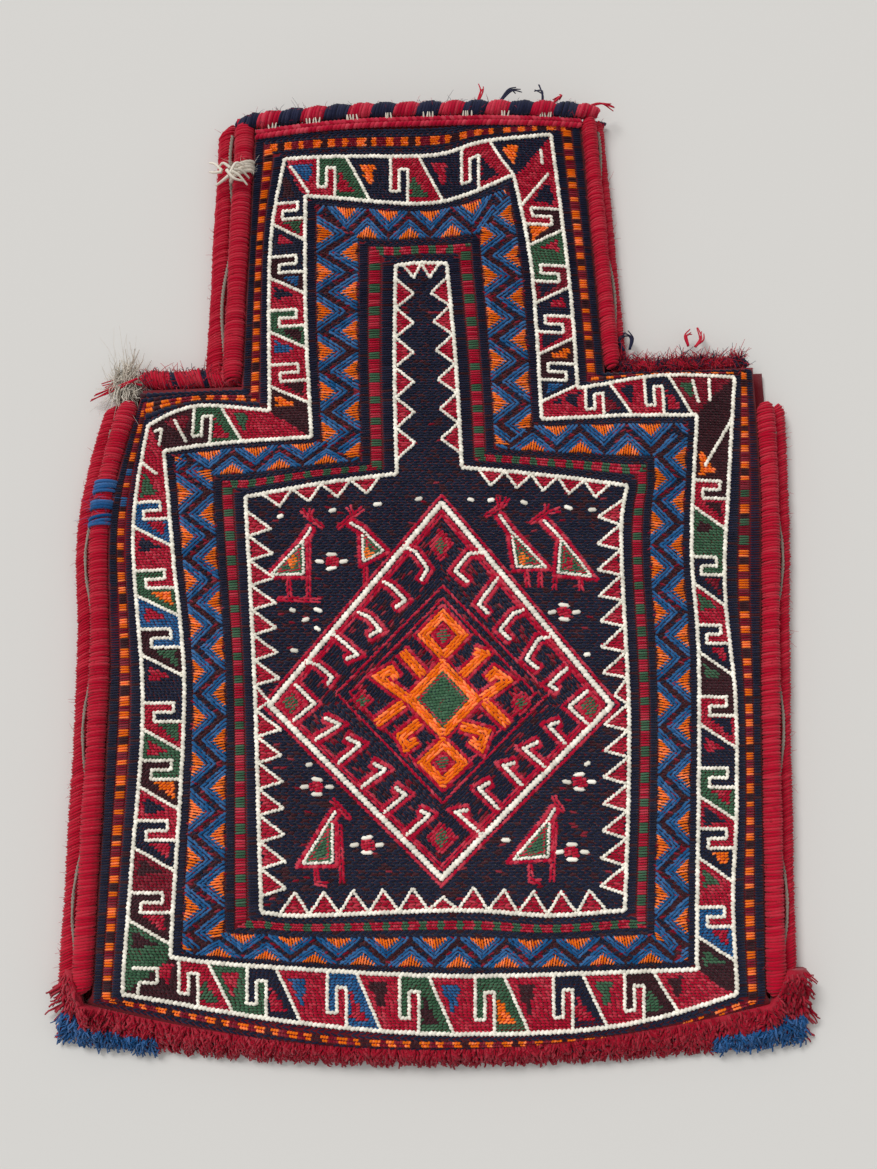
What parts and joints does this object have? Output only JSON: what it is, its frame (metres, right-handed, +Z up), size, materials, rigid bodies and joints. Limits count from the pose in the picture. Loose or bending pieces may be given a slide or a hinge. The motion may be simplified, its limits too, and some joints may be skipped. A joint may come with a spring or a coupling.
{
  "type": "salt bag",
  "caption": "Bottle-shaped flat-woven wool salt bag with wrapped and laced edge cords, a rolled mouth and a knotted pile foot, lying flat.",
  "frame": {"origin": "centre of the bag's outline, on the surface that it lies on", "axes": "+Y from the foot to the mouth, +Z up through the bag's thickness, +X to the right seen from the front"},
  "size_m": [0.3788, 0.5164, 0.0241],
  "materials": {
    "woven_cloth": "wool weave with navy, red, ivory, orange, blue and green yarns",
    "ivory_wool": "thick twisted ivory wool",
    "red_wool": "tightly wrapped red wool yarn",
    "mouth_wool": "red and navy wool bundles, wrapped obliquely",
    "pile_wool": "short knotted wool pile",
    "blue_wool": "loose blue wool",
    "white_wool": "undyed wool, slightly soiled",
    "grey_thread": "two-ply grey thread"
  },
  "bodies": {
    "root": {"woven_cloth": "woven_cloth", "border_outline_yarn": "ivory_wool", "field_outline_yarn": "ivory_wool", "medallion_outline_yarn": "ivory_wool", "cord_neck_left_front": "red_wool", "cord_neck_left_back": "red_wool", "cord_neck_right_front": "red_wool", "cord_neck_right_back": "red_wool", "cord_side_left_front": "red_wool", "cord_side_left_back": "red_wool", "cord_side_right_front": "red_wool", "cord_side_right_back": "red_wool", "lacing_neck_left": "grey_thread", "lacing_neck_right": "grey_thread", "lacing_side_left": "grey_thread", "lacing_side_right": "grey_thread", "mouth_roll_front": "mouth_wool", "mouth_roll_back": "mouth_wool", "shoulder_binding_left": "red_wool", "shoulder_binding_right": "red_wool", "foot_pile": "pile_wool", "foot_pile_blue_left": "blue_wool", "foot_pile_blue_right": "blue_wool", "neck_tie": "white_wool", "side_mend": "blue_wool", "shoulder_tuft": "white_wool"}
  },
  "joints": []
}
